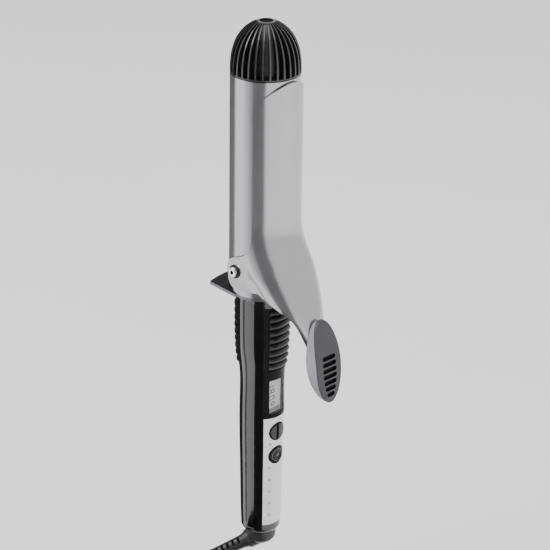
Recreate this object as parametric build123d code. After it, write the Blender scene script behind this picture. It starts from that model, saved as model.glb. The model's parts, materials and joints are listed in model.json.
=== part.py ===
from build123d import *
import os
from math import cos, pi, radians, sin, tan

# Curling iron with a spring clamp and a swivelling cord.
# Millimetres. +Z runs up the barrel to the cool tip, +X points at the thumb lever and the display,
# and the origin is on the axis at the middle of the handle, where a hand holds it.

os.makedirs("parts", exist_ok=True)

# ---- driving dimensions ----
BARREL_R = 19.05  # 1.5 inch barrel
BARREL_WALL = 0.9
Z_BARREL = 74.0  # the barrel's foot, on the stand plate
Z_CAP = 198.0  # the barrel's top end, where the cool tip starts
CAP_HEIGHT = 29.0
FINS = 30
GROOVE_ANGLE = 9.2  # out of the 12 degrees that a fin and a groove take

CLAMP_IN = 19.35  # the clamp's inner radius, clear of the barrel
CLAMP_T = 1.05
CLAMP_R = CLAMP_IN + CLAMP_T
PIVOT_X = -1.5
PIVOT_Z = 88.0
SCREW_R = 1.65
HEAD_R = 2.8
PIVOT_CLEARANCE = 0.05
WASHER_R = 3.9

STAND_T = 1.8
STAND_HUB_R = 16.4
SPIGOT_R = 11.9

Z_HANDLE = 69.2  # the handle's top end
Z_HANDLE_END = -80.0
HANDLE_WALL = 2.8
SPLIT_X = -3.0  # the plane between the two handle shells
# radius of the handle down its length, from the wide grip to the slim end
HANDLE = (
    (69.2, 15.0),
    (50, 14.9),
    (36, 14.4),
    (24, 12.95),
    (0, 12.75),
    (-30, 12.4),
    (-67, 11.65),
    (-76, 11.3),
)
HANDLE_END_R = 9.3

INLAY_T = 1.5  # the bezel and the control panel are let into the front of the handle
INLAY_ANGLE = 40.5
PAD_ANGLE = 30.5
BACK_PAD_ANGLE = 52.0
Z_PAD = (26.5, 65.0)
RIB_PITCH = 4.2
RIB_RISE = 1.1
GROOVE_TALL = 1.0  # height of the groove under each rib
WINDOW_ANGLE = 26.0
Z_WINDOW = (-1.2, 20.4)
Z_PANEL = (-73.4, -3.5)
GAP = 0.15  # the line between two pieces that lie side by side

KEY_Z = -12.7
POWER_Z = -27.9
KEY_R = 4.9
POWER_R = 3.9
RING_R = 5.5
KEY_RISE = 0.9
KEY_BAR = (-0.7, 0.7)  # the middle and the half width of the bar between the two keys
KEY_TRAVEL = 0.6
LED_TOP = -35.6
LED_PITCH = 7.8
LED_PLACES = (-2, 0, 1, 2, 3, 4)  # in pitches below the top of the row
LED_ANGLE = -22.0
LED_R = 0.9

BOARD_X = 3.2
BOARD_T = 1.6
SWITCH_H = 1.5
KEY_FOOT = BOARD_X + BOARD_T + SWITCH_H + KEY_TRAVEL + 0.1  # where the keys' stems end

SWIVEL_Z = -85.4  # where the cord's line crosses the axis
STEM_R = 4.0
CORD_D = 5.6
CORD_LENGTH = 1800.0  # the whole cord; the coil stands for the turns it is put away in
CORD_DIR = Vector(-0.52, -0.75, -0.41).normalized()
RELIEF = (5.0, 40.0)  # the strain relief's ends along the cord's line
SPINE_DIR = CORD_DIR.cross(Vector(-0.25, 0.6, -0.76)).normalized()
SPINE = 1.7  # the slots lie this far to each side of the middle

COIL_R = 33.6  # middle of the turns
COIL_HALF = 8.4  # half the thickness of the bundle of turns
COIL_Z = -128.0
COIL_CENTRE = (6.1, -57.6)
LEAD_R = 37.0  # the first turn, which lies on top of the others
PLUG_ANGLE = 20.0
PLUG_Z = -111.0
PLUG_BORE = 7.0  # how far the cord runs into the plug

nodes = {}


# ---- helpers ----
def turned(points, angle=360.0):
    """A closed outline of (radius, height) points turned about Z, with a part turn centred on +X."""
    outline = Polyline([(r, 0, z) for r, z in points], close=True)
    solid = revolve(make_face(outline), Axis.Z, angle)
    return solid if angle == 360.0 else Rot(0, 0, -angle / 2) * solid


def sector(half_angle, z_low, z_high, turn=0.0):
    """A wedge of space with its edge on the axis, centred on +X."""
    reach = 60.0
    y = reach * tan(radians(half_angle))
    outline = make_face(Polyline([(0, 0, z_low), (reach, -y, z_low), (reach, y, z_low)], close=True))
    return Rot(0, 0, turn) * extrude(outline, z_high - z_low, dir=(0, 0, 1))


def block(x, y, z):
    """A box from three (low, high) pairs."""
    size = [pair[1] - pair[0] for pair in (x, y, z)]
    return Pos(*[sum(pair) / 2 for pair in (x, y, z)]) * Box(*size)


def rod(start, end, radius):
    """A straight round bar between two points."""
    start, end = Vector(*start), Vector(*end)
    along = end - start
    return Plane(origin=start, z_dir=along) * Cylinder(
        radius, along.length, align=(Align.CENTER, Align.CENTER, Align.MIN)
    )


def handle_radius(z):
    """The handle's radius at a height, between the stations."""
    for (z1, r1), (z0, r0) in zip(HANDLE, HANDLE[1:]):
        if z >= z0:
            return r0 + (r1 - r0) * (z - z0) / (z1 - z0)
    return HANDLE[-1][1]


def handle_solid(inset=0.0):
    """The handle's outer shape, or that shape shrunk by an inset."""
    z_top, z_low = HANDLE[0][0], HANDLE[-1][0]
    side = Spline([(r - inset, 0, z) for z, r in HANDLE], tangents=[(0, 0, -1), (-0.06, 0, -1)])
    end = ThreePointArc(
        (HANDLE[-1][1] - inset, 0, z_low),
        (HANDLE[-1][1] - 0.5 - inset, 0, z_low - 2.6),
        (HANDLE_END_R - inset, 0, Z_HANDLE_END),
    )
    foot = (HANDLE_END_R - inset, 0, Z_HANDLE_END)
    rest = Polyline(foot, (0, 0, Z_HANDLE_END), (0, 0, z_top), side @ 0)
    return revolve(make_face([side, end, rest]), Axis.Z, 360)


def key_disc(y, z, radius, x_low, rise):
    """A round piece on the front of the handle that follows its surface, raised by rise."""
    post = rod((x_low, y, z), (20, y, z), radius)
    return post & handle_solid(-rise)


# ---- barrel ----
def barrel():
    z = (Z_BARREL, Z_CAP)
    r = (BARREL_R - BARREL_WALL, BARREL_R)
    tube = turned([(r[0], z[0]), (r[1], z[0]), (r[1], z[1]), (r[0], z[1])])
    tube -= rod((PIVOT_X, -25, PIVOT_Z), (PIVOT_X, 25, PIVOT_Z), SCREW_R)
    nodes["barrel_tube"] = tube

    # steel collar inside the foot, which the pivot screws thread into
    inner = r[0]
    collar = turned([(15.5, 81), (inner, 81), (inner, 95), (15.5, 95)])
    collar -= rod((PIVOT_X, -25, PIVOT_Z), (PIVOT_X, 25, PIVOT_Z), SCREW_R)
    nodes["pivot_collar"] = collar

    # plastic spigot that carries the barrel on the handle, through the stand
    nodes["mount_spigot"] = turned(
        [(8, 58), (SPIGOT_R, 58), (SPIGOT_R, 74), (inner, 74), (inner, 79), (8, 79)]
    )
    nodes["heat_shield"] = turned([(5, 96), (inner, 96), (inner, 97.5), (5, 97.5)])


def heater():
    """Two aluminium spreaders press a flat element, and spread its heat to the barrel's wall."""
    z_low, z_high = 100.0, 190.0
    outer = BARREL_R - BARREL_WALL - 0.2
    for name, side in (("heat_spreader_front", 1), ("heat_spreader_back", -1)):
        ring = Circle(outer) - Circle(outer - 2.4)
        web = Pos(2.4, 0) * Rectangle(1.6, 2 * outer - 2)
        half = Pos(10.8, 0) * Rectangle(18.4, 40)
        profile = (ring + web) & half
        spreader = Pos(0, 0, z_low) * extrude(profile, z_high - z_low)
        nodes[name] = spreader if side > 0 else Rot(0, 0, 180) * spreader
    nodes["heater_element"] = block((-1.5, 1.5), (-7, 7), (102, 186))
    nodes["thermistor"] = rod((5.2, 8, 102), (5.2, 8, 109), 1.6)
    nodes["thermal_fuse"] = rod((-6.4, 0, 101), (-6.4, 0, 113), 2.4)
    wires = [rod((0, y, 23), (0, y, 102), 0.9) for y in (-3.5, 3.5)]
    nodes["heater_leads"] = Compound(children=wires)


# ---- cool tip ----
def tip_radius(height, radius):
    """The dome's radius at a height above the barrel: a little fuller than a half ellipse."""
    return radius * (1 - (height / CAP_HEIGHT) ** 2.7) ** (1 / 1.85)


def dome_side(radius, low, high):
    """The dome's outline between two heights above the barrel."""
    steps = [low + (high - low) * sin(i / 8 * pi / 2) for i in range(9)]
    return Spline([(tip_radius(h, radius), 0, Z_CAP + h) for h in steps])


def cool_tip():
    base, top = 0.9, 28.2
    side = dome_side(BARREL_R, base, top)
    rest = Polyline(side @ 1, (0, 0, Z_CAP + top), (0, 0, Z_CAP + base), side @ 0)
    body = revolve(make_face([side, rest]), Axis.Z, 360)
    floor = dome_side(BARREL_R - 4.2, base + 0.3, top - 0.8)
    corners = [(5.4, 0, Z_CAP + 34), (30, 0, Z_CAP + 34), (30, 0, Z_CAP + base + 0.3)]
    outside = Polyline(floor @ 1, *corners, floor @ 0)
    groove = revolve(make_face([floor, outside]), Axis.Z, GROOVE_ANGLE)
    grooves = [Rot(0, 0, 360 / FINS * i) * groove for i in range(FINS)]
    hub_hole = Pos(0, 0, Z_CAP + top) * Cylinder(3.6, 2.4)
    nodes["cool_tip"] = body - grooves - hub_hole
    nodes["tip_hub"] = Pos(0, 0, Z_CAP + top - 0.9) * Cylinder(3.5, 0.6)
    ring = [(15, 0), (BARREL_R - 0.25, 0), (BARREL_R - 0.25, base), (15, base)]
    nodes["tip_ring"] = turned([(r, Z_CAP + h) for r, h in ring])
    socket = [(14.9, -8), (BARREL_R - BARREL_WALL, -8), (BARREL_R - BARREL_WALL, 0), (14.9, 0)]
    nodes["tip_socket"] = turned([(r, Z_CAP + h) for r, h in socket])


# ---- clamp ----
# (height, centre of the round front, its radius, where the flat cheek starts to taper)
FLARE = (
    (127, 0, CLAMP_R, -3),
    (120, 0, CLAMP_R, -3),
    (113, 0.35, CLAMP_R, -3),
    (105, 2.3, CLAMP_R, -1),
    (97, 6.3, CLAMP_R, 2),
    (88, 11.6, 20.2, 6),
    (79, 17.6, 18.4, 8),
    (70, 24.0, 15.6, 8),
    (63, 29.6, 12.4, 8),
    (57, 34.6, 9.4, 8),
    (48, 39.6, 6.8, 8),
)


def clamp_section(z, centre, radius, taper_x, inset):
    """One level of the clamp: flat cheeks from the ears, then a round front."""
    cheek = CLAMP_R - inset
    r = radius - inset
    back = Polyline((centre, r, z), (taper_x, cheek, z), (-14, cheek, z))
    close = Line((-14, cheek, z), (-14, -cheek, z))
    front = Polyline((-14, -cheek, z), (taper_x, -cheek, z), (centre, -r, z))
    nose = ThreePointArc((centre, -r, z), (centre + r, 0, z), (centre, r, z))
    return make_face([back, close, front, nose])


def clamp_volume(inset):
    """The space inside the clamp's outer or inner surface."""
    flare = loft([clamp_section(*level, inset) for level in FLARE])
    upper = extrude(clamp_section(*FLARE[0], inset), 90, dir=(0, 0, 1))
    return flare + upper


def clamp_outline():
    """The clamp seen from the side: rounded tip, straight edge, ear round the pivot, lever."""
    tip = Spline((20.45, 0, 197), (16.3, 0, 192.2), (11.0, 0, 185.6), (9.15, 0, 175))
    edge = Line((9.15, 0, 175), (9.15, 0, 107))
    hollow = ThreePointArc((9.15, 0, 107), (7.6, 0, 101.9), (3.6, 0, 98.4))
    ear_top = Line((3.6, 0, 98.4), (-4.2, 0, 95.2))
    ear_end = ThreePointArc((-4.2, 0, 95.2), (-7.6, 0, 90.4), (-6.8, 0, 85.3))
    ear_low = ThreePointArc((-6.8, 0, 85.3), (-4.9, 0, 79.4), (-1.6, 0, 77.5))
    foot = Line((-1.6, 0, 77.5), (15.0, 0, 79.4))
    lever = Spline((15.0, 0, 79.4), (25.6, 0, 73.2), (34.5, 0, 66.5), (39.0, 0, 57.0), (42.4, 0, 49.0))
    rest = Polyline((42.4, 0, 49.0), (60, 0, 49.0), (60, 0, 197), (20.45, 0, 197))
    return make_face([tip, edge, hollow, ear_top, ear_end, ear_low, foot, lever, rest])


def across_pivot(side, low, high, radius):
    """A round piece on the pivot's line, between two distances beyond the clamp's cheek."""
    ends = [(PIVOT_X, side * (CLAMP_R + out), PIVOT_Z) for out in (low, high)]
    return rod(*ends, radius)


def clamp():
    shell = clamp_volume(0.0) - clamp_volume(CLAMP_T)
    trim = extrude(clamp_outline(), 30, dir=(0, 1, 0), both=True)
    spoon = shell & trim
    spoon -= rod((PIVOT_X, -25, PIVOT_Z), (PIVOT_X, 25, PIVOT_Z), SCREW_R + PIVOT_CLEARANCE)
    nodes["clamp_spoon"] = spoon

    screws, washers = [], []
    for side in (-1, 1):
        shank = across_pivot(side, -7.4, 0.36, SCREW_R)
        head = across_pivot(side, 0.36, 2.5, HEAD_R)
        head = fillet(head.edges().sort_by(Axis.Y)[-1 if side > 0 else 0], 0.5)
        facing = Plane(origin=(PIVOT_X, side * (CLAMP_R + 1.3), PIVOT_Z), z_dir=(0, side, 0))
        socket = facing * extrude(RegularPolygon(1.35, 6), 3)
        screws.append(shank + head - socket)
        washers.append(across_pivot(side, 0.07, 0.35, WASHER_R) - across_pivot(side, 0, 1, SCREW_R))
    nodes["pivot_screws"] = Compound(children=screws)
    nodes["pivot_washers"] = Compound(children=washers)


def clamp_spring():
    """A coil spring between the barrel's foot and the lever pushes the clamp shut."""
    z, wire = 79.0, 0.6
    cup = rod((19.2, 0, z), (20.4, 0, z), 5.0) + rod((20.4, 0, z), (22.6, 0, z), 2.6)
    seat = block((17, 19.6), (-5, 5), (z - 5, z + 5))
    seat &= turned([(BARREL_R, 70), (19.5, 70), (19.5, 90), (BARREL_R, 90)])
    nodes["spring_seat"] = cup + seat
    helix = Helix(pitch=2.3, height=10.2, radius=3.6)
    coil = sweep(Plane(origin=helix @ 0, z_dir=helix % 0) * Circle(wire), path=helix, is_frenet=True)
    nodes["clamp_spring"] = Plane(origin=(21.1, 0, z), z_dir=(1, 0, 0)) * coil


# ---- thumb rest ----
# (height, face, half width, depth of the body under the face)
THUMB = (
    (67.6, 44.6, 1.6, 1.6),
    (64.5, 45.9, 5.2, 5.2),
    (59.0, 47.9, 7.4, 8.6),
    (52.0, 50.0, 8.7, 12.2),
    (43.5, 51.7, 9.1, 15.2),
    (36.0, 52.5, 8.7, 14.4),
    (29.0, 53.1, 7.1, 11.0),
    (24.0, 53.4, 4.6, 6.8),
    (21.4, 53.5, 1.6, 2.6),
)
FACE_T = 1.5
SLOT_DEPTH = 1.0
SLOT_WIDTH = 2.5
SLOT_PITCH = 3.56


def slot_floor(z, face):
    """One level of the space below the bottoms of the slots across the face plate."""
    low, high = face - FACE_T - 1, face - SLOT_DEPTH
    return make_face(Polyline([(low, -12, z), (high, -12, z), (high, 12, z), (low, 12, z)], close=True))


def thumb_rest():
    """A dark face plate on a lighter, deeper body that the end of the lever runs into."""
    plates, bodies = [], []
    for z, face, half, depth in THUMB:
        under = face - FACE_T
        corners = [(under, -half, z), (face, -half + 0.25, z), (face, half - 0.25, z), (under, half, z)]
        plates.append(make_face(Polyline(corners, close=True)))
        turns = [pi * i / 4 for i in range(5)]
        deep = depth - FACE_T
        bow = Spline(
            [(under - deep * sin(a), half * cos(a), z) for a in turns], tangents=[(-1, 0, 0), (1, 0, 0)]
        )
        bodies.append(make_face([bow, Line(bow @ 1, bow @ 0)]))
    plate = loft(plates)
    floor = loft([slot_floor(z, face) for z, face, _, _ in THUMB])
    for i, half in enumerate((4.9, 5.1, 5.2, 5.1, 4.7, 4.0, 2.9)):
        start = Plane(origin=(49, 0, 47.6 - SLOT_PITCH * i), z_dir=(1, 0, 0), x_dir=(0, 1, 0))
        plate -= start * extrude(SlotOverall(2 * half, SLOT_WIDTH), 10) - floor
    nodes["thumb_face"] = plate
    body = loft(bodies)
    pocket = clamp_volume(-0.02) - clamp_volume(CLAMP_T + 0.02)
    nodes["thumb_body"] = body - (pocket & block((30, 60), (-15, 15), (48.9, 80)))
    screw = rod((38.9, 0, 55), (40.6, 0, 55), 2.3) + rod((40.6, 0, 55), (47.0, 0, 55), 1.3)
    nodes["thumb_body"] -= rod((30, 0, 55), (40.6, 0, 55), 2.3) + screw
    nodes["clamp_spoon"] -= screw
    nodes["thumb_screw"] = screw - rod((38.8, 0, 55), (39.7, 0, 55), 0.9)


# ---- stand ----
def safety_stand():
    """A flat plate under the barrel, with a wide bowed foot opposite the lever."""
    z = Z_BARREL - STAND_T
    foot = ThreePointArc((-23.9, 18, z), (-26.9, 0, z), (-23.9, -18, z))
    side = Polyline((-23.9, -18, z), (-2.2, -19.8, z), (-1.2, -18.6, z))
    front = ThreePointArc((-1.2, -18.6, z), (18.65, 0, z), (-1.2, 18.6, z))
    back = Polyline((-1.2, 18.6, z), (-2.2, 19.8, z), (-23.9, 18, z))
    plate = extrude(make_face([foot, side, front, back]), STAND_T, dir=(0, 0, 1))
    hub = turned([(SPIGOT_R, Z_HANDLE), (STAND_HUB_R - 0.6, Z_HANDLE), (STAND_HUB_R, z), (SPIGOT_R, z)])
    bore = Pos(0, 0, Z_BARREL) * Cylinder(SPIGOT_R, 20)
    corner = plate.edges().filter_by(Axis.Z).sort_by(Axis.X)[:2]
    nodes["safety_stand"] = fillet(corner, 0.25) - bore + (hub - bore)


# ---- handle ----
def handle_shells():
    body = handle_solid()
    cavity = handle_solid(HANDLE_WALL) & block((-30, 30), (-30, 30), (-77, 66.4))
    mouth = Pos(0, 0, Z_HANDLE) * Cylinder(SPIGOT_R, 12)
    drain = Pos(0, 0, Z_HANDLE_END) * Cylinder(9.0, 8)
    shell = body - cavity - mouth - drain
    rear = block((-40, SPLIT_X), (-40, 40), (-100, 100))
    ribs = block((SPLIT_X, 2.7), (-12, 12), (6, 12)) + block((SPLIT_X, 2.7), (-12, 12), (-63, -57))
    ribs &= handle_solid(HANDLE_WALL - 0.5)
    front = (shell - rear) + ribs
    recess = handle_solid(-2) - handle_solid(INLAY_T)
    front -= recess & sector(INLAY_ANGLE, Z_PANEL[0] - GAP, Z_PAD[1] + 1.2)
    front -= block((5, 20), (-5.8, 5.8), (Z_WINDOW[0] - 0.4, Z_WINDOW[1] + 0.4))
    for z in (KEY_Z, POWER_Z):
        front -= rod((5, 0, z), (20, 0, z), RING_R + 0.2)
    for place in LED_PLACES:
        front -= led_post(place, LED_R + 0.02)
    for z in (9, -60):
        front -= rod((SPLIT_X - 1, 0, z), (0, 0, z), 1.2)
    nodes["handle_front"] = front

    back = shell & rear
    back -= (handle_solid(-3) - handle_solid(1.2)) & sector(BACK_PAD_ANGLE, *Z_PAD, 180)
    screws = []
    for z in (9, -60):
        skin = -handle_radius(z)
        back += rod((skin + 2.65, 0, z), (SPLIT_X, 0, z), 2.9)
        head = rod((skin + 0.6, 0, z), (skin + 2.6, 0, z), 2.3)
        drive = rod((skin + 0.5, 0, z), (skin + 1.6, 0, z), 0.9)
        shank = rod((skin + 2.6, 0, z), (0, 0, z), 1.2)
        back -= rod((skin - 3, 0, z), (skin + 2.6, 0, z), 2.3) + shank
        screws.append(head + shank - drive)
    nodes["handle_back"] = back
    nodes["handle_screws"] = Compound(children=screws)


def ribbed(inset, groove):
    """The handle's shape with round raised ribs along the grip, and a sunk groove under each."""
    count = int((Z_PAD[1] - Z_PAD[0]) / RIB_PITCH)
    tops = [Z_PAD[1] - (Z_PAD[1] - Z_PAD[0]) * i / count for i in range(count + 1)]
    edges = []
    for high, low in zip(tops, tops[1:]):
        foot = low + GROOVE_TALL
        middle = (high + foot) / 2
        ends = [(handle_radius(z) + 0.12, 0, z) for z in (high, foot)]
        edges.append(ThreePointArc(ends[0], (handle_radius(middle) + RIB_RISE, 0, middle), ends[1]))
        floor = [(handle_radius(z) - groove, 0, z) for z in (foot - 0.1, low + 0.1)]
        edges.append(Polyline(ends[1], *floor, (handle_radius(low) + 0.12, 0, low)))
    rest = Polyline(edges[-1] @ 1, (0, 0, tops[-1]), (0, 0, tops[0]), edges[0] @ 0)
    return revolve(make_face(edges + [rest]), Axis.Z, 360) - handle_solid(inset)


def grips():
    """Ribbed rubber pads at the front and the back of the handle."""
    nodes["grip_front"] = ribbed(INLAY_T, 0.6) & sector(PAD_ANGLE, *Z_PAD)
    nodes["grip_back"] = ribbed(1.2, 0.05) & sector(BACK_PAD_ANGLE, *Z_PAD, 180)


def front_inlays():
    """The bezel frames the front pad and the display; the bright panel runs on below it."""
    skin = handle_solid(-0.1) - handle_solid(INLAY_T - 0.02)
    bezel = skin & sector(INLAY_ANGLE - 0.6, Z_PANEL[1] + GAP, Z_PAD[1] + 1.0)
    bezel -= sector(PAD_ANGLE, Z_PAD[0], Z_PAD[1])
    bezel -= sector(WINDOW_ANGLE, *Z_WINDOW)
    nodes["display_bezel"] = bezel

    panel = skin & sector(INLAY_ANGLE - 0.6, *Z_PANEL)
    for z in (KEY_Z, POWER_Z):
        panel -= rod((5, 0, z), (20, 0, z), RING_R + 0.2)
    for place in LED_PLACES:
        panel -= led_post(place, LED_R + 0.02)
    nodes["control_panel"] = panel

    lens = handle_solid(0.1) - handle_solid(0.9)
    nodes["display_lens"] = lens & sector(WINDOW_ANGLE, *Z_WINDOW)
    nodes["display_screen"] = block((8.5, 9.6), (-5.0, 5.0), Z_WINDOW)
    nodes["display_holder"] = block((6.8, 8.5), (-5.6, 5.6), (Z_WINDOW[0] - 0.2, Z_WINDOW[1] + 0.2))


def led_post(place, radius):
    """One of the row of indicator lights on the panel."""
    z = LED_TOP - LED_PITCH * place
    x, y = cos(radians(LED_ANGLE)), sin(radians(LED_ANGLE))
    return rod((8 * x, 8 * y, z), (16 * x, 16 * y, z), radius)


def controls():
    post = handle_solid(-0.25)
    hole = rod((0, 0, KEY_Z), (20, 0, KEY_Z), KEY_R + 0.2)
    bar_y, bar_half = KEY_BAR
    bar = block((0, 20), (bar_y - bar_half, bar_y + bar_half), (KEY_Z - 5.2, KEY_Z + 5.2))
    frame = rod((9.2, 0, KEY_Z), (20, 0, KEY_Z), RING_R + 0.18) - (hole - bar)
    nodes["key_frame"] = frame & post

    for name, side in (("temp_down_key", -1), ("temp_up_key", 1)):
        edge = bar_y + side * (bar_half + 0.2)
        half = block((0, 20), tuple(sorted((edge, edge + side * 9))), (KEY_Z - 8, KEY_Z + 8))
        cap = key_disc(0, KEY_Z, KEY_R, 9.0, KEY_RISE) & half
        stem = rod((KEY_FOOT, side * 2.6, KEY_Z), (9.0, side * 2.6, KEY_Z), 1.2)
        nodes[name] = cap + stem

    ring = rod((9.2, 0, POWER_Z), (20, 0, POWER_Z), RING_R + 0.18)
    ring -= rod((0, 0, POWER_Z), (20, 0, POWER_Z), POWER_R + 0.2)
    nodes["power_ring"] = ring & post
    cap = key_disc(0, POWER_Z, POWER_R, 9.0, KEY_RISE - 0.1)
    nodes["power_button"] = cap + rod((KEY_FOOT, 0, POWER_Z), (9.0, 0, POWER_Z), 1.2)
    skin = handle_solid(-0.2) - handle_solid(2.4)
    nodes["indicator_lights"] = Compound(children=[led_post(place, LED_R) & skin for place in LED_PLACES])


def electronics():
    face = BOARD_X + BOARD_T
    nodes["circuit_board"] = block((BOARD_X, face), (-7.2, 7.2), (-61, 22))
    spots = ((-2.6, KEY_Z), (2.6, KEY_Z), (0, POWER_Z))
    switches = [block((face, face + SWITCH_H), (y - 2.2, y + 2.2), (z - 2.2, z + 2.2)) for y, z in spots]
    nodes["key_switches"] = Compound(children=switches)
    nodes["controller_chip"] = block((BOARD_X - 1.4, BOARD_X), (-4, 4), (-20, -11))
    nodes["power_triac"] = block((BOARD_X - 4.2, BOARD_X), (-5, 5), (-50, -40))
    nodes["filter_capacitor"] = rod((BOARD_X - 4.2, 0, -36), (BOARD_X - 4.2, 0, -24), 4.2)
    wires = [rod((face + 0.95, y, -66), (face + 0.95, y, -50), 0.8) for y in (-4.5, 4.5)]
    nodes["mains_leads"] = Compound(children=wires)


# ---- swivel ----
def on_cord_line(distance):
    """A point on the straight line that the cord leaves along."""
    return Vector(0, 0, SWIVEL_Z) + CORD_DIR * distance


def strain_relief():
    """A tapered sleeve that bends with the cord: arc-shaped slots leave a spine on two sides."""
    low, high = RELIEF
    outer = [(5.2, low), (5.0, 8.0), (4.0, 12), (3.7, 20), (3.45, high - 0.4), (3.15, high)]
    inner = [(CORD_D / 2, high), (CORD_D / 2, high - 6), (0, high - 6), (0, low)]
    sleeve = turned(outer + inner)
    for i in range(7):
        s = 12.6 + 3.5 * i
        ring = turned([(2.9, s), (7, s), (7, s + 1.5), (2.9, s + 1.5)])
        sleeve -= ring & block((-SPINE, SPINE), (-8, 8), (s - 1, s + 3))
    return Plane(origin=(0, 0, SWIVEL_Z), x_dir=SPINE_DIR, z_dir=CORD_DIR) * sleeve


def swivel():
    plate = turned([(STEM_R + 0.06, -79.6), (9.0, -79.6), (9.0, -77.0), (STEM_R + 0.06, -77.0)])
    nodes["end_plate"] = plate
    relief = strain_relief()
    nodes["strain_relief"] = relief

    rim = Polyline((0, 0, -80.3), (8.9, 0, -80.3), (8.9, 0, -83.4))
    bowl = Spline(
        [(8.9, 0, -83.4), (8.2, 0, -86.7), (6.0, 0, -88.8), (0, 0, -90.3)],
        tangents=[(0, 0, -1), (-1, 0, 0)],
    )
    axis = Line((0, 0, -90.3), (0, 0, -80.3))
    housing = revolve(make_face([rim, bowl, axis]), Axis.Z, 360)
    throat = turned([(0, 2), (5.8, 2), (5.6, 8.6), (0, 8.6)])
    throat = Plane(origin=(0, 0, SWIVEL_Z), z_dir=CORD_DIR) * throat
    stem = rod((0, 0, -80.3), (0, 0, -65), STEM_R)
    nodes["swivel_housing"] = housing + throat + stem - relief
    nodes["swivel_retainer"] = turned([(STEM_R, -76.7), (6.5, -76.7), (6.5, -75.2), (STEM_R, -75.2)])
    rings, brushes = [], []
    for i, z in enumerate((-73.5, -69.5)):
        rings.append(turned([(STEM_R, z), (5.2, z), (5.2, z + 2), (STEM_R, z + 2)]))
        pad = block((5.4, 6.2), (-1.2, 1.2), (z, z + 2))
        brushes.append(pad + block((6.2, 8.6), (-1.2, 1.2), (z + 0.4, z + 1.6)))
    nodes["slip_rings"] = Compound(children=rings)
    nodes["contact_brushes"] = Compound(children=brushes)


# ---- cord ----
def on_coil(angle, radius, z):
    """A point at an angle round the coil."""
    return (
        COIL_CENTRE[0] + radius * cos(radians(angle)),
        COIL_CENTRE[1] + radius * sin(radians(angle)),
        z,
    )


def corner_radii(points):
    """The radius of the arc at each corner of a route: as large as the shorter run allows."""
    radii = []
    for a, b, c in zip(points, points[1:], points[2:]):
        turn = (b - a).get_angle(c - b)
        run = min((b - a).length, (c - b).length)
        radii.append(0.45 * run / tan(radians(turn / 2)))
    return radii


def tube(points, name):
    """A round cord along straight runs joined by arcs."""
    points = [Vector(*p) for p in points]
    radii = corner_radii(points)
    path = FilletPolyline(*points, radius=radii)
    solid = sweep(Plane(origin=points[0], z_dir=path % 0) * Circle(CORD_D / 2), path=path)
    share = solid.volume / (pi * CORD_D**2 / 4 * path.length)
    print(name, "length", round(path.length, 1), "volume share", round(share, 3))
    print(name, "corner radii", [round(r) for r in radii])
    return solid, path.length


def cord():
    """The cord drops from the swivel into a tied coil, and ends in a plug that lies on the coil."""
    lead = [tuple(on_cord_line(s)) for s in (34, 46)]
    drop = ((161, -110.0), (184, -114.6), (208, -118.2), (232, -120.8), (256, -124.0))
    lead += [on_coil(angle, LEAD_R, z) for angle, z in drop]
    nodes["cord"], lead_length = tube(lead, "cord")

    half, corner = COIL_HALF, 4.5
    ring = RectangleRounded(2 * half, 2 * half, corner)
    middle = Pos(COIL_CENTRE[0], COIL_CENTRE[1], COIL_Z)
    nodes["cord_coil"] = middle * revolve(Plane.XZ * Pos(COIL_R, 0) * ring, Axis.Z, 360)
    strap = RectangleRounded(2 * half + 2.4, 2 * half + 2.4, corner + 1.2) - ring
    nodes["cord_tie"] = middle * Rot(0, 0, 105) * revolve(Plane.XZ * Pos(COIL_R, 0) * strap, Axis.Z, 14)

    climb = ((-88, 33.4, -123.6), (-64, 34.2, -119.8), (-40, 34.3, -115.9), (-16, 34.35, -112.6))
    tail = [on_coil(angle, radius, z) for angle, radius, z in climb]
    tail.append(on_coil(PLUG_ANGLE - 12, COIL_R / cos(radians(12)), PLUG_Z))
    entry = Vector(*on_coil(PLUG_ANGLE, COIL_R, PLUG_Z))
    along = Vector(-sin(radians(PLUG_ANGLE)), cos(radians(PLUG_ANGLE)), 0)
    tail.append(tuple(entry + along * PLUG_BORE))
    nodes["cord_tail"], tail_length = tube(tail, "cord_tail")
    turns = (CORD_LENGTH - lead_length - tail_length) / (2 * pi * COIL_R)
    print("turns of cord in the coil", round(turns, 1))
    plug(entry, along)


PLUG = (
    # (distance from the entry, width, height, corner radius)
    (2, 8.4, 7.6, 3.6),
    (12, 10.6, 9.0, 4.2),
    (15, 19.0, 13.6, 5.5),
    (29, 24.0, 15.8, 6.0),
    (36, 22.0, 15.0, 5.0),
)


def plug(entry, along):
    """A two-blade mains plug with a tapered neck."""
    at = Plane(origin=entry, x_dir=(along.Y, -along.X, 0), z_dir=along)
    sections = [at * Pos(0, 0, z) * RectangleRounded(w, h, corner) for z, w, h, corner in PLUG]
    body = loft(sections[:2]) + loft(sections[1:3], ruled=True) + loft(sections[2:])
    nodes["plug_body"] = body - rod(entry - along * 5, entry + along * PLUG_BORE, CORD_D / 2)
    blades = []
    for side, wide in ((-1, 6.35), (1, 7.9)):
        blade = Pos(side * 6.35, 0, 44.5) * Box(1.5, wide, 17)
        blade -= Pos(side * 6.35, 0, 48.6) * Rot(0, 90, 0) * Cylinder(1.5, 5)
        blades.append(at * blade)
    nodes["plug_blades"] = Compound(children=blades)


for build in (barrel, heater, cool_tip, clamp, clamp_spring, thumb_rest, safety_stand, handle_shells):
    build()
for build in (grips, front_inlays, controls, electronics, swivel, cord):
    build()

for name, shape in nodes.items():
    export_step(shape, f"parts/{name}.step")
print(len(nodes), "nodes")
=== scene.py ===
import json
from math import cos, pi, radians, sin

import bmesh
import bpy
from mathutils import Matrix, Vector


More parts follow.
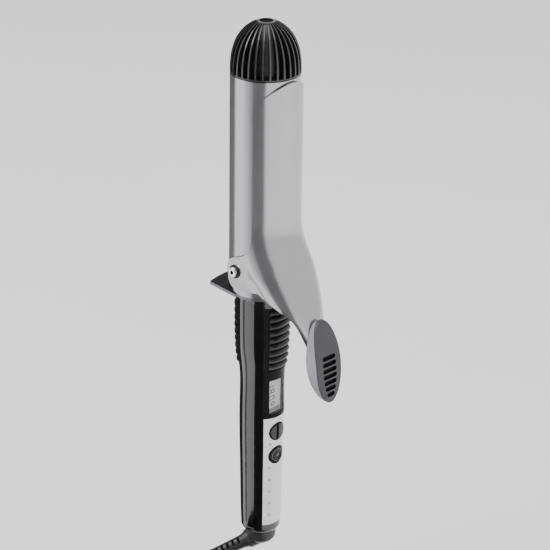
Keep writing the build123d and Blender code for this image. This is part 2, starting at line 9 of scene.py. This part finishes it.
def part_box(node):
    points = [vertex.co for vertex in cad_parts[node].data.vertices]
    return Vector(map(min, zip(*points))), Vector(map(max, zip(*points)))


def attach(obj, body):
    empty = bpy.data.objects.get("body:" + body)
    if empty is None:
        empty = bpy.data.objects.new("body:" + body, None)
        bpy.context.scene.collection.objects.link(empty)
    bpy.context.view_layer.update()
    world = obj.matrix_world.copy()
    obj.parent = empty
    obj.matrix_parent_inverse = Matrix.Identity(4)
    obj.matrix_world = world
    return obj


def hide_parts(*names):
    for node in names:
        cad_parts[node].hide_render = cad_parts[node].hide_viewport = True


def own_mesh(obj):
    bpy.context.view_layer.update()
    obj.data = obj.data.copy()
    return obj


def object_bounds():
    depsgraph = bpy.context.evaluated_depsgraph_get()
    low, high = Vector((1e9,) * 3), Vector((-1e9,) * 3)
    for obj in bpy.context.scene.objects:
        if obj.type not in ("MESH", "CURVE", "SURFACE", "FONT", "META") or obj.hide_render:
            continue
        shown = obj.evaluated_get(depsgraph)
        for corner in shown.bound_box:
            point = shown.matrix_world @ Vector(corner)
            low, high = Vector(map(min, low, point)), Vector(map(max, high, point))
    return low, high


# Looks of the curling iron. Metres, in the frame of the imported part: +Z up the barrel, +X towards
# the thumb lever and the display, origin on the axis at the middle of the handle.

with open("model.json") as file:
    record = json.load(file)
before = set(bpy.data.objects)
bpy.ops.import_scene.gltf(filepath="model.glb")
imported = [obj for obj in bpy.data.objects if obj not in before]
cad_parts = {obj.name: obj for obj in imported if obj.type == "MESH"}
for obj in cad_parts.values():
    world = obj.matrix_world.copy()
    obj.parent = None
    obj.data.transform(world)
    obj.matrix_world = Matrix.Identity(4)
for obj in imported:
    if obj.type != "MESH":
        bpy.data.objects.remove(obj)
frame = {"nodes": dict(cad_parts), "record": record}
nodes = frame["nodes"]
cad_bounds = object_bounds()
MM = 0.001

# ---- camera ----
AIM = Vector((0, 0, 0.080))
CAMERA_DISTANCE = 1.142
CAMERA_AZIMUTH = radians(-45)
CAMERA_ELEVATION = radians(24.4)
CAMERA_ROLL = radians(0.657)
CAMERA_LENS = 135.49
CAMERA_SHIFT = 0.0212
FAR_CARDS = 0.46  # nearer than this the floor shows in the handle, and farther out in the barrel
# (sector's start and end in degrees from the camera's direction, nearest, farthest, grey)
CARDS = (
    (-38, 8, 0.05, FAR_CARDS, 0.008),
    (-180, -114, 0.05, FAR_CARDS, 0.008),
    (-95, -83, 0.1, FAR_CARDS, 0.25),
    (-172, -112, FAR_CARDS, 0.8, 0.13),
    (-70, -54, FAR_CARDS, 0.8, 0.66),
    (-54, -42, FAR_CARDS, 0.8, 0.42),
    (-42, 1, FAR_CARDS, 0.8, 0.15),
)
CARD_TOP = 0.75
FLOOR_REACH = 4.0
FLOOR_GAP = 0.3 * MM

# ---- cord, with the same route as the part's ----
CORD_D = 5.6 * MM
SWIVEL = Vector((0, 0, -85.4 * MM))
CORD_DIR = Vector((-0.52, -0.75, -0.41)).normalized()
COIL_CENTRE = Vector((6.1 * MM, -57.6 * MM, 0))
COIL_R = 33.6 * MM
COIL_Z = -128 * MM
LEAD_R = 37 * MM
PLUG_ANGLE = 20.0
PLUG_Z = -111 * MM
PLUG_BORE = 7 * MM
PLUG_APPROACH = 12.0  # degrees of the coil along which the cord runs straight into the plug
COIL_STEP = 24.0  # degrees between the points of a turn
COIL_START = 256.0
CROSSING = 0.28  # the share of a turn in which the cord shifts to its next place in the bundle
# the turns' places in the bundle, as (column, row) from its middle, in diameters
COIL_SLOTS = ((1, 1), (1, 0), (1, -1), (0, -1), (-1, -1), (-1, 0), (0, 0), (0, 1), (-1, 1))
RELIEF_POINTS = (34 * MM, 46 * MM)  # the route's first points, along the strain relief
# points on the way down to the coil, as (degrees, mm), and up from it to the plug, as (degrees, mm, mm)
WAY_DOWN = ((161, -110.0), (184, -114.6), (208, -118.2), (232, -120.9))
WAY_UP = ((-88, 28.2, -121.5), (-64, 29.6, -118.3), (-40, 32.4, -115.4), (-16, 34.2, -112.6))

# ---- places on the part that have their own finish, or painted highlights and shade ----
STAND_HUB_R = 16.6 * MM
BARREL_R = 19.05 * MM
Z_CAP = 198 * MM
CAP_HEIGHT = 29 * MM
CAP_POWERS = (2.7, 1.85)  # of the height and of the radius, in the dome's outline
FIN_MARGIN = 0.5 * MM
# fins' outer faces that look out this far get the painted highlight
FIN_FACING = 0.6  # how far a fin's outer face has to look outwards or upwards
PIVOT = (-1.5 * MM, 88 * MM)
SOCKET_R = 1.7 * MM
SOCKET_CENTRE_R = 0.2 * MM
SOCKET_FLOOR = 21.5 * MM
CLAMP_SIDE = 3 * MM  # farther out than this from its middle, the spoon has cut side edges
THUMB_SLOT_Z = (23.5 * MM, 50.5 * MM)  # the part of the thumb rest that has slots across it
THUMB_SLOT_SIZE = (11 * MM, 4 * MM)  # a slot's faces are smaller than this, across and in height
RELIEF_SLOTS = (12.4 * MM, 36.0 * MM)  # the stretch of the strain relief that has slots
SLOT_FLOOR_R = 3.05 * MM


# ---- materials ----
class Surface:
    """A procedural material: a principled shader whose colour, roughness and relief vary."""

    def __init__(self, name, metallic=0.0, ior=1.5, coat=0.0, coat_roughness=0.1, specular=0.5):
        self.material = bpy.data.materials.new(name)
        self.material.use_nodes = True
        self.tree = self.material.node_tree
        self.shader = self.tree.nodes["Principled BSDF"]
        self.shader.inputs["Metallic"].default_value = metallic
        self.shader.inputs["IOR"].default_value = ior
        self.shader.inputs["Specular IOR Level"].default_value = specular
        self.shader.inputs["Coat Weight"].default_value = coat
        self.shader.inputs["Coat Roughness"].default_value = coat_roughness
        self.place = self.tree.nodes.new("ShaderNodeTexCoord").outputs["Object"]
        self.relief = None

    def noise(self, scale, detail=3.0, stretch=(1, 1, 1)):
        mapping = self.tree.nodes.new("ShaderNodeMapping")
        mapping.inputs["Scale"].default_value = stretch
        self.tree.links.new(self.place, mapping.inputs["Vector"])
        node = self.tree.nodes.new("ShaderNodeTexNoise")
        node.inputs["Scale"].default_value = scale
        node.inputs["Detail"].default_value = detail
        self.tree.links.new(mapping.outputs["Vector"], node.inputs["Vector"])
        return node.outputs["Fac"]

    def ranged(self, value, low, high):
        node = self.tree.nodes.new("ShaderNodeMapRange")
        node.inputs["From Min"].default_value = 0.3
        node.inputs["From Max"].default_value = 0.7
        node.inputs["To Min"].default_value = low
        node.inputs["To Max"].default_value = high
        self.tree.links.new(value, node.inputs["Value"])
        return node.outputs["Result"]

    def colour(self, value, first, second):
        ramp = self.tree.nodes.new("ShaderNodeValToRGB")
        ramp.color_ramp.elements[0].position = 0.3
        ramp.color_ramp.elements[1].position = 0.7
        ramp.color_ramp.elements[0].color = (*first, 1)
        ramp.color_ramp.elements[1].color = (*second, 1)
        self.tree.links.new(value, ramp.inputs["Fac"])
        self.tree.links.new(ramp.outputs["Color"], self.shader.inputs["Base Color"])

    def roughness(self, value, low, high):
        self.tree.links.new(self.ranged(value, low, high), self.shader.inputs["Roughness"])

    def bump(self, value, height, strength=1.0):
        node = self.tree.nodes.new("ShaderNodeBump")
        node.inputs["Distance"].default_value = height
        node.inputs["Strength"].default_value = strength
        self.tree.links.new(value, node.inputs["Height"])
        if self.relief:
            self.tree.links.new(self.relief, node.inputs["Normal"])
        self.relief = node.outputs["Normal"]
        self.tree.links.new(self.relief, self.shader.inputs["Normal"])


def shade(colour, factor):
    return tuple(min(1.0, c * factor) for c in colour)


def satin_metal(name, colour, rough, brushed=True):
    s = Surface(name, metallic=1.0)
    s.colour(s.noise(60, 4), shade(colour, 0.97), shade(colour, 1.03))
    lines = s.noise(700, 4, (1, 1, 0.03) if brushed else (1, 1, 1))
    s.roughness(lines, rough * 0.88, rough * 1.12)
    s.bump(lines, 0.0006 * MM)
    s.bump(s.noise(35, 2), 0.01 * MM)
    return s.material


def moulded(name, colour, rough, grain=900.0, depth=0.01, coat=0.0, specular=0.5):
    s = Surface(name, coat=coat, coat_roughness=0.04, specular=specular)
    s.colour(s.noise(45, 5), shade(colour, 0.86), shade(colour, 1.12))
    s.roughness(s.noise(170, 4), rough * 0.85, rough * 1.2)
    s.bump(s.noise(grain, 3), depth * MM)
    s.bump(s.noise(60, 2), 0.02 * MM)
    return s.material


def rubber(name, colour, rough=0.62):
    s = Surface(name)
    s.colour(s.noise(120, 6), shade(colour, 0.8), shade(colour, 1.3))
    s.roughness(s.noise(260, 5), rough * 0.85, min(1.0, rough * 1.2))
    s.bump(s.noise(2200, 4), 0.02 * MM)
    s.shader.inputs["Sheen Weight"].default_value = 0.08
    return s.material


def woven(name, colour):
    s = Surface(name)
    s.colour(s.noise(2500, 2, (1, 1, 0.2)), shade(colour, 0.75), shade(colour, 1.1))
    s.roughness(s.noise(900, 3), 0.7, 0.9)
    s.bump(s.noise(3000, 2), 0.05 * MM)
    return s.material


def clear_lens(name):
    s = Surface(name, ior=1.08, coat=0.35, coat_roughness=0.03)
    s.colour(s.noise(80, 3), (0.93, 0.94, 0.94), (0.97, 0.98, 0.98))
    s.roughness(s.noise(200, 3), 0.02, 0.06)
    s.bump(s.noise(40, 2), 0.01 * MM)
    s.shader.inputs["Transmission Weight"].default_value = 1.0
    return s.material


FINISHES = {
    "barrel_metal": satin_metal("barrel_satin", (0.5, 0.5, 0.515), 0.2),
    "tip_plastic": moulded("tip_black", (0.01, 0.01, 0.011), 0.3, 1400, 0.008, specular=0.55),
    "aluminium": satin_metal("cast_aluminium", (0.78, 0.78, 0.79), 0.45, False),
    "ceramic": moulded("ceramic_white", (0.8, 0.79, 0.75), 0.55),
    "plain_steel": satin_metal("bright_steel", (0.62, 0.62, 0.63), 0.32, False),
    "wire_sleeve": woven("wire_braid", (0.78, 0.76, 0.7)),
    "mica": moulded("mica_plate", (0.5, 0.42, 0.3), 0.5, 300, 0.03),
    "inner_plastic": moulded("inner_moulding", (0.05, 0.05, 0.055), 0.5),
    "stand_metal": moulded(
        "stand_enamel", (0.004, 0.004, 0.006), 0.14, 700, 0.002, 0.5, specular=0.85
    ),
    "screw_chrome": satin_metal("screw_plating", (0.88, 0.88, 0.89), 0.12, False),
    # the dark ring round each pivot screw's head is this black washer
    "washer_black": moulded("pivot_washer_dark_ring", (0.01, 0.01, 0.011), 0.4, specular=0.3),
    "handle_gloss": moulded(
        "handle_black_gloss", (0.003, 0.003, 0.004), 0.1, 500, 0.001, 0.5, specular=0.85
    ),
    "grip_rubber": moulded("grip_black", (0.008, 0.008, 0.009), 0.3, 2200, 0.012, specular=0.5),
    "lens_clear": clear_lens("display_window"),
    "screen_grey": moulded("display_ground", (0.62, 0.63, 0.6), 0.5, 3000, 0.002),
    "panel_silver": moulded("panel_silver_paint", (0.74, 0.74, 0.75), 0.32, 2600, 0.004, 0.3),
    "light_grey_lens": moulded("light_lens", (0.42, 0.42, 0.44), 0.2),
    "board_green": moulded("board_resist", (0.03, 0.17, 0.07), 0.35),
    "contact_brass": satin_metal("brass_plate", (0.75, 0.6, 0.33), 0.25, False),
    "thumb_dark": moulded("thumb_dark_grey", (0.052, 0.05, 0.058), 0.42, 1500, 0.01, specular=0.35),
    "thumb_light": moulded("thumb_grey", (0.24, 0.24, 0.265), 0.42, 1500, 0.01),
    "key_grey": moulded("key_dark", (0.03, 0.03, 0.033), 0.3, specular=0.4),
    "key_violet": moulded("key_violet_grey", (0.075, 0.073, 0.082), 0.35, specular=0.4),
    "swivel_plastic": moulded("swivel_dark", (0.022, 0.022, 0.024), 0.38, 1200, 0.01),
    "cord_black": moulded("cord_sheath", (0.014, 0.014, 0.015), 0.42, 1600, 0.02),
    "tie_black": rubber("tie_strap", (0.03, 0.03, 0.033)),
}
BEZEL = moulded("bezel_black", (0.002, 0.002, 0.002), 0.22, 500, 0.001, specular=0.12)
STAND_TOP = moulded("stand_matt", (0.006, 0.006, 0.01), 0.5, 700, 0.006, specular=0.1)
# painted highlight: the stand's rim is a lighter grey metal than the black plate
STAND_RIM_HIGHLIGHT = satin_metal("stand_rim_painted_highlight", (0.22, 0.22, 0.235), 0.35, False)
# painted highlight: the fins' outer faces are a lighter grey than the rest of the tip
FIN_HIGHLIGHT = moulded("fin_painted_highlight", (0.03, 0.03, 0.032), 0.16, 1400, 0.004, specular=0.8)
# black for the tip's hub and the power mark, and painted shade in the screw sockets and the slots
BLACK_AND_SHADE = moulded("black_and_painted_shade", (0.002, 0.002, 0.002), 0.6, specular=0.1)
# painted shade: the spoon's edge faces are a dark grey metal
CLAMP_EDGE_SHADE = satin_metal("clamp_edge_painted_shade", (0.1, 0.1, 0.105), 0.35, False)
SEGMENT = moulded("segment_grey", (0.07, 0.07, 0.075), 0.5)


def dress_nodes():
    """Gives every part of the frame the finish of its material slot."""
    for entry in frame["record"]["subparts"]:
        mesh = nodes[entry["node"]].data
        mesh.materials.clear()
        mesh.materials.append(FINISHES[entry["material_slot"]])
    for name in ("display_bezel", "key_frame", "power_ring"):
        nodes[name].data.materials[0] = BEZEL
    nodes["tip_hub"].data.materials[0] = BLACK_AND_SHADE
    # painted shade on the spoon's edges
    mark_faces("clamp_spoon", CLAMP_EDGE_SHADE, is_painted_clamp_shade)
    # painted highlight on the stand's rim
    mark_faces("safety_stand", STAND_RIM_HIGHLIGHT, is_stand_rim_highlight)
    mark_faces("safety_stand", STAND_TOP, is_stand_top)
    # painted highlight on the fins' outer faces
    mark_faces("cool_tip", FIN_HIGHLIGHT, is_fin_highlight)
    # painted shade in the screw sockets
    mark_faces("pivot_screws", BLACK_AND_SHADE, is_socket_shade)
    # painted shade in the relief's slots
    mark_faces("strain_relief", BLACK_AND_SHADE, is_relief_shade)
    # black slots on the thumb rest, partly painted shade
    blacken_slots()


def mark_faces(name, material, chosen):
    """Gives the chosen faces of a node another material; some of these are painted highlights and painted
    shade.
    """
    mesh = nodes[name].data
    mesh.materials.append(material)
    for face in mesh.polygons:
        if chosen(face.center, face.normal):
            face.material_index = len(mesh.materials) - 1


def is_painted_clamp_shade(centre, normal):
    """The sheared edge of the spoon, which was cut square across it; it is painted dark grey as shade
    along the spoon's outline.
    """
    return abs(normal.y) < 0.12 and (abs(centre.y) > CLAMP_SIDE or normal.z > 0.8)


def is_stand_rim_highlight(centre, normal):
    """The rim of the stand's plate, painted a lighter grey metal as a highlight."""
    return abs(normal.z) < 0.5 and Vector(centre.xy).length > STAND_HUB_R


def is_stand_top(centre, normal):
    """The upper face of the stand's plate."""
    return normal.z > 0.5


def is_fin_highlight(centre, normal):
    """The outer face of a fin, which follows the dome and is painted a lighter, glossier grey as a
    highlight; the grooves' walls face along it.
    """
    height = centre.z - Z_CAP
    if not 0 < height < CAP_HEIGHT:
        return False
    dome = BARREL_R * (1 - (height / CAP_HEIGHT) ** CAP_POWERS[0]) ** (1 / CAP_POWERS[1])
    out = Vector(centre.xy)
    facing = normal.xy.dot(out.normalized()) + normal.z
    return out.length > dome - FIN_MARGIN and facing > FIN_FACING


def is_socket_shade(centre, normal):
    """The six-sided recess in a pivot screw's head, painted black as the shade in it."""
    off = Vector((centre.x - PIVOT[0], centre.z - PIVOT[1])).length
    recess = off < SOCKET_CENTRE_R or abs(normal.y) < 0.5
    return off < SOCKET_R and abs(centre.y) > SOCKET_FLOOR and recess


def is_relief_shade(centre, normal):
    """The floor and the walls of a slot round the strain relief, painted black as the shade in the slot.
    """
    off = centre - SWIVEL
    along = off.dot(CORD_DIR)
    out = (off - CORD_DIR * along).length
    walls = abs(normal.dot(CORD_DIR)) > 0.8 or out < SLOT_FLOOR_R
    return RELIEF_SLOTS[0] < along < RELIEF_SLOTS[1] and walls


def islands(mesh):
    """The connected patches of a mesh, one for each CAD face, each a list of its polygons."""
    shape = bmesh.new()
    shape.from_mesh(mesh)
    seen, patches = set(), []
    for start in shape.faces:
        if start.index in seen:
            continue
        seen.add(start.index)
        patch, edge = [], [start]
        while edge:
            face = edge.pop()
            patch.append(face.index)
            for side in face.edges:
                for other in side.link_faces:
                    if other.index not in seen:
                        seen.add(other.index)
                        edge.append(other)
        patches.append(patch)
    shape.free()
    return patches


def blacken_slots():
    """The walls and floors of the slots across the thumb rest are black: partly the slots' own black
    insert, partly painted shade in the recesses.
    """
    mesh = nodes["thumb_face"].data
    mesh.materials.append(BLACK_AND_SHADE)
    for patch in islands(mesh):
        corners = [mesh.vertices[v].co for i in patch for v in mesh.polygons[i].vertices]
        heights, widths = [c.z for c in corners], [c.y for c in corners]
        wide, tall = max(widths) - min(widths), max(heights) - min(heights)
        small = wide < THUMB_SLOT_SIZE[0] and tall < THUMB_SLOT_SIZE[1]
        if small and THUMB_SLOT_Z[0] < min(heights) and max(heights) < THUMB_SLOT_Z[1]:
            for i in patch:
                mesh.polygons[i].material_index = 1


# ---- cord ----
def on_coil(angle, radius, z):
    a = radians(angle)
    return COIL_CENTRE + Vector((radius * cos(a), radius * sin(a), z))


def smooth(t):
    t = min(1.0, max(0.0, t))
    return t * t * (3 - 2 * t)


def coil_point(turned):
    """A point of the winding after some degrees of turning. Each turn ends by shifting a place."""
    turn = int(turned // 360)
    part = smooth((turned / 360 - turn - (1 - CROSSING)) / CROSSING)
    here = Vector(COIL_SLOTS[turn])
    there = Vector(COIL_SLOTS[min(turn + 1, len(COIL_SLOTS) - 1)])
    place = here.lerp(there, part) * CORD_D
    return on_coil(COIL_START + turned, COIL_R + place.x, COIL_Z + place.y)


def cord_route():
    route = [SWIVEL + CORD_DIR * along for along in RELIEF_POINTS]
    for angle, z in WAY_DOWN:
        route.append(on_coil(angle, LEAD_R, z * MM))
    turns = len(COIL_SLOTS) - 1
    route += [coil_point(COIL_STEP * i) for i in range(round(turns * 360 / COIL_STEP) + 1)]
    for angle, radius, z in WAY_UP:
        route.append(on_coil(angle, radius * MM, z * MM))
    a, approach = radians(PLUG_ANGLE), radians(PLUG_APPROACH)
    route.append(on_coil(PLUG_ANGLE - PLUG_APPROACH, COIL_R / cos(approach), PLUG_Z))
    route.append(on_coil(PLUG_ANGLE, COIL_R, PLUG_Z) + Vector((-sin(a), cos(a), 0)) * PLUG_BORE)
    return route


def build_cord():
    route = cord_route()
    curve = bpy.data.curves.new("mains_cord", "CURVE")
    curve.dimensions = "3D"
    curve.bevel_depth = CORD_D / 2
    curve.bevel_resolution = 6
    curve.resolution_u = 10
    curve.use_fill_caps = True
    spline = curve.splines.new("NURBS")
    spline.points.add(len(route) - 1)
    for point, place in zip(spline.points, route):
        point.co = (*place, 1)
    spline.order_u = 3
    spline.use_endpoint_u = True
    curve.materials.append(FINISHES["cord_black"])
    cord = bpy.data.objects.new("mains_cord", curve)
    bpy.context.scene.collection.objects.link(cord)
    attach(cord, "swivel")
    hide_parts("cord", "cord_coil", "cord_tail")


# ---- clamp spring, with the same coils as the part's ----
SPRING_START = Vector((21.1 * MM, 0, 79 * MM))
SPRING_LENGTH = 10.2 * MM
SPRING_PITCH = 2.3 * MM
SPRING_R = 3.6 * MM
SPRING_WIRE = 0.6 * MM


def build_spring():
    """The spring behind the lever, which the clamp presses shorter as it opens; here it is a fixed coil of
    one length.
    """
    per_turn, sides = 32, 12
    count = round(SPRING_LENGTH / SPRING_PITCH * per_turn)
    shape = bmesh.new()
    rings = []
    for i in range(count + 1):
        a = 2 * pi * i / per_turn
        out = Vector((0, cos(a), sin(a)))
        along = Vector((SPRING_PITCH / (2 * pi), -SPRING_R * sin(a), SPRING_R * cos(a))).normalized()
        middle = SPRING_START + Vector((SPRING_PITCH * i / per_turn, 0, 0)) + out * SPRING_R
        up = along.cross(out)
        turns = [2 * pi * k / sides for k in range(sides)]
        rings.append([shape.verts.new(middle + (out * cos(b) + up * sin(b)) * SPRING_WIRE) for b in turns])
    for first, second in zip(rings, rings[1:]):
        for k in range(sides):
            shape.faces.new([first[k], first[k - 1], second[k - 1], second[k]]).smooth = True
    shape.faces.new(rings[0])
    shape.faces.new(reversed(rings[-1]))
    bmesh.ops.recalc_face_normals(shape, faces=shape.faces)
    mesh = bpy.data.meshes.new("clamp_coil_spring")
    shape.to_mesh(mesh)
    shape.free()
    entry = next(e for e in frame["record"]["subparts"] if e["node"] == "clamp_spring")
    mesh.materials.append(FINISHES[entry["material_slot"]])
    spring = bpy.data.objects.new("clamp_coil_spring", mesh)
    bpy.context.scene.collection.objects.link(spring)
    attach(spring, "handle")
    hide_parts("clamp_spring")
    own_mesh(spring)


# ---- display ----
DIGITS = {"1": "bc", "8": "abcdefg", "0": "abcdef", "degree": "abfg"}
READING = ("1", "8", "0", "degree")
DIGIT_SIZE = (4.2 * MM, 2.0 * MM)  # height and width
DIGIT_PITCH = 4.0 * MM
DIGIT_TOP = 3.4 * MM  # below the display's top end
DIGIT_STROKE = 0.6 * MM
DIGIT_HEIGHT = 0.06 * MM  # above the display
DISPLAY_MARGIN = 0.8 * MM
LINES_BELOW_TOP = (1.5 * MM,)
LINES_ABOVE_FOOT = (1.2 * MM, 2.3 * MM)


def bar(shape, start, end, x):
    """One segment of a digit: a flat pointed bar on the display, between two (y, z) points."""
    a, b = Vector((x, *start)), Vector((x, *end))
    along = (b - a).normalized()
    across = Vector((1, 0, 0)).cross(along) * DIGIT_STROKE / 2
    tip = along * DIGIT_STROKE / 2
    outline = [a, a + tip + across, b - tip + across, b, b - tip - across, a + tip - across]
    base = [shape.verts.new(p) for p in outline]
    top = [shape.verts.new(p + Vector((DIGIT_HEIGHT, 0, 0))) for p in outline]
    shape.faces.new(top)
    for i in range(6):
        j = (i + 1) % 6
        shape.faces.new([base[i], base[j], top[j], top[i]])


def build_digits():
    """Generic segment digits that read down the display, near its edge."""
    low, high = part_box("display_screen")
    tall, wide = DIGIT_SIZE
    shape = bmesh.new()
    for place, digit in enumerate(READING):
        corner = Vector((low.y + DISPLAY_MARGIN, high.z - DIGIT_TOP - DIGIT_PITCH * place))
        # the digits lie on their sides: their height runs across the handle
        at = {
            "tl": corner + Vector((tall, 0)),
            "tr": corner + Vector((tall, -wide)),
            "ml": corner + Vector((tall / 2, 0)),
            "mr": corner + Vector((tall / 2, -wide)),
            "bl": corner,
            "br": corner + Vector((0, -wide)),
        }
        segments = {
            "a": ("tl", "tr"), "b": ("tr", "mr"), "c": ("mr", "br"), "d": ("br", "bl"),
            "e": ("bl", "ml"), "f": ("ml", "tl"), "g": ("ml", "mr"),
        }
        for letter in DIGITS[digit]:
            first, last = segments[letter]
            bar(shape, at[first], at[last], high.x)
    levels = [high.z - drop for drop in LINES_BELOW_TOP] + [low.z + rise for rise in LINES_ABOVE_FOOT]
    for z in levels:
        bar(shape, (low.y + DISPLAY_MARGIN, z), (high.y - DISPLAY_MARGIN, z), high.x)
    mesh = bpy.data.meshes.new("display_digits")
    shape.to_mesh(mesh)
    shape.free()
    mesh.materials.append(SEGMENT)
    digits = bpy.data.objects.new("display_digits", mesh)
    bpy.context.scene.collection.objects.link(digits)
    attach(digits, "handle")


# ---- power mark ----
MARK_RADII = (2.9 * MM, 1.7 * MM)
MARK_WIRE = 0.36 * MM
MARK_SUNK = 0.4  # how much of the wire's radius lies below the button's face


def build_power_mark():
    """Two plain raised rings on the power button, which follow its round face."""
    low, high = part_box("power_button")
    middle = (low.z + high.z) / 2
    curve = bpy.data.curves.new("power_mark", "CURVE")
    curve.dimensions = "3D"
    curve.bevel_depth = MARK_WIRE
    curve.bevel_resolution = 3
    steps = 32
    for radius in MARK_RADII:
        ring = curve.splines.new("POLY")
        ring.points.add(steps - 1)
        ring.use_cyclic_u = True
        for i, point in enumerate(ring.points):
            a = 2 * pi * i / steps
            y = radius * cos(a)
            x = (high.x**2 - y**2) ** 0.5 - MARK_WIRE * MARK_SUNK
            point.co = (x, y, middle + radius * sin(a), 1)
    curve.materials.append(BLACK_AND_SHADE)
    mark = bpy.data.objects.new("power_mark", curve)
    bpy.context.scene.collection.objects.link(mark)
    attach(mark, "power_key")


# ---- stage ----
def flat_material(name, colour, rough):
    s = Surface(name)
    s.colour(s.noise(3, 2), shade(colour, 0.99), colour)
    s.shader.inputs["Roughness"].default_value = rough
    return s.material


def polygon(name, points, material):
    mesh = bpy.data.meshes.new(name)
    mesh.from_pydata([tuple(p) for p in points], [], [list(range(len(points)))])
    mesh.materials.append(material)
    piece = bpy.data.objects.new(name, mesh)
    bpy.context.scene.collection.objects.link(piece)
    return piece


def seen_from_camera(turn):
    """The direction in the plan that lies some degrees to the right of the camera's, from the object."""
    a = CAMERA_AZIMUTH + radians(turn)
    return Vector((cos(a), sin(a), 0))


def dark_card(name, start, end, near, far, grey):
    """A cloth on the floor that shows only in reflections. A far one goes on up a wall."""
    cloth = flat_material(name + "_cloth", (grey, grey, grey * 1.05), 0.9)
    steps = 12
    floor = cad_bounds[0][2] + MM
    rows = [(near, floor), (far, floor)]
    if far > FAR_CARDS:
        rows.append((far, CARD_TOP))
    points, faces = [], []
    for i in range(steps + 1):
        outward = seen_from_camera(start + (end - start) * i / steps)
        points += [outward * radius + Vector((0, 0, z)) for radius, z in rows]
    for i in range(steps):
        for row in range(len(rows) - 1):
            a = i * len(rows) + row
            faces.append((a, a + 1, a + 1 + len(rows), a + len(rows)))
    mesh = bpy.data.meshes.new(name)
    mesh.from_pydata([tuple(p) for p in points], [], faces)
    mesh.materials.append(cloth)
    piece = bpy.data.objects.new(name, mesh)
    bpy.context.scene.collection.objects.link(piece)
    piece.visible_camera = False
    piece.visible_diffuse = False
    piece.visible_shadow = False


def area_light(name, turn, elevation, distance, size, power, mirrored=True):
    light = bpy.data.lights.new(name, "AREA")
    light.shape = "RECTANGLE"
    light.size, light.size_y = size
    light.energy = power
    lamp = bpy.data.objects.new(name, light)
    lamp.location = AIM + distance * (
        seen_from_camera(turn) * cos(radians(elevation)) + Vector((0, 0, sin(radians(elevation))))
    )
    lamp.visible_glossy = mirrored
    lamp.rotation_euler = (AIM - lamp.location).to_track_quat("-Z", "Y").to_euler()
    bpy.context.scene.collection.objects.link(lamp)


def build_stage():
    floor_z = cad_bounds[0][2] - FLOOR_GAP
    corners = [(-1, -1), (1, -1), (1, 1), (-1, 1)]
    points = [(x * FLOOR_REACH, y * FLOOR_REACH, floor_z) for x, y in corners]
    polygon("floor", points, flat_material("floor_white", (0.86, 0.86, 0.86), 0.9))
    for number, card in enumerate(CARDS):
        dark_card("card_" + str(number), *card)
    area_light("key_light", -80, 45, 1.6, (1.2, 1.2), 18)
    area_light("fill_light", 70, 35, 1.8, (1.2, 1.4), 12, mirrored=False)
    area_light("top_light", 10, 85, 1.6, (1.4, 1.4), 11)
    world = bpy.data.worlds.new("studio")
    world.use_nodes = True
    world.node_tree.nodes["Background"].inputs["Color"].default_value = (1, 1, 1, 1)
    world.node_tree.nodes["Background"].inputs["Strength"].default_value = 1.05
    bpy.context.scene.world = world


def build_camera():
    data = bpy.data.cameras.new("photo_camera")
    data.lens = CAMERA_LENS
    data.sensor_width = 36.0
    data.shift_x = CAMERA_SHIFT
    data.clip_end = 20.0
    camera = bpy.data.objects.new("photo_camera", data)
    outward = seen_from_camera(0) * cos(CAMERA_ELEVATION) + Vector((0, 0, sin(CAMERA_ELEVATION)))
    place = AIM + outward * CAMERA_DISTANCE
    level = (AIM - place).to_track_quat("-Z", "Y").to_matrix().to_4x4()
    camera.matrix_world = Matrix.Translation(place) @ level @ Matrix.Rotation(CAMERA_ROLL, 4, "Z")
    bpy.context.scene.collection.objects.link(camera)
    bpy.context.scene.camera = camera


build_camera()
build_cord()
dress_nodes()
build_spring()
build_digits()
build_power_mark()
build_stage()
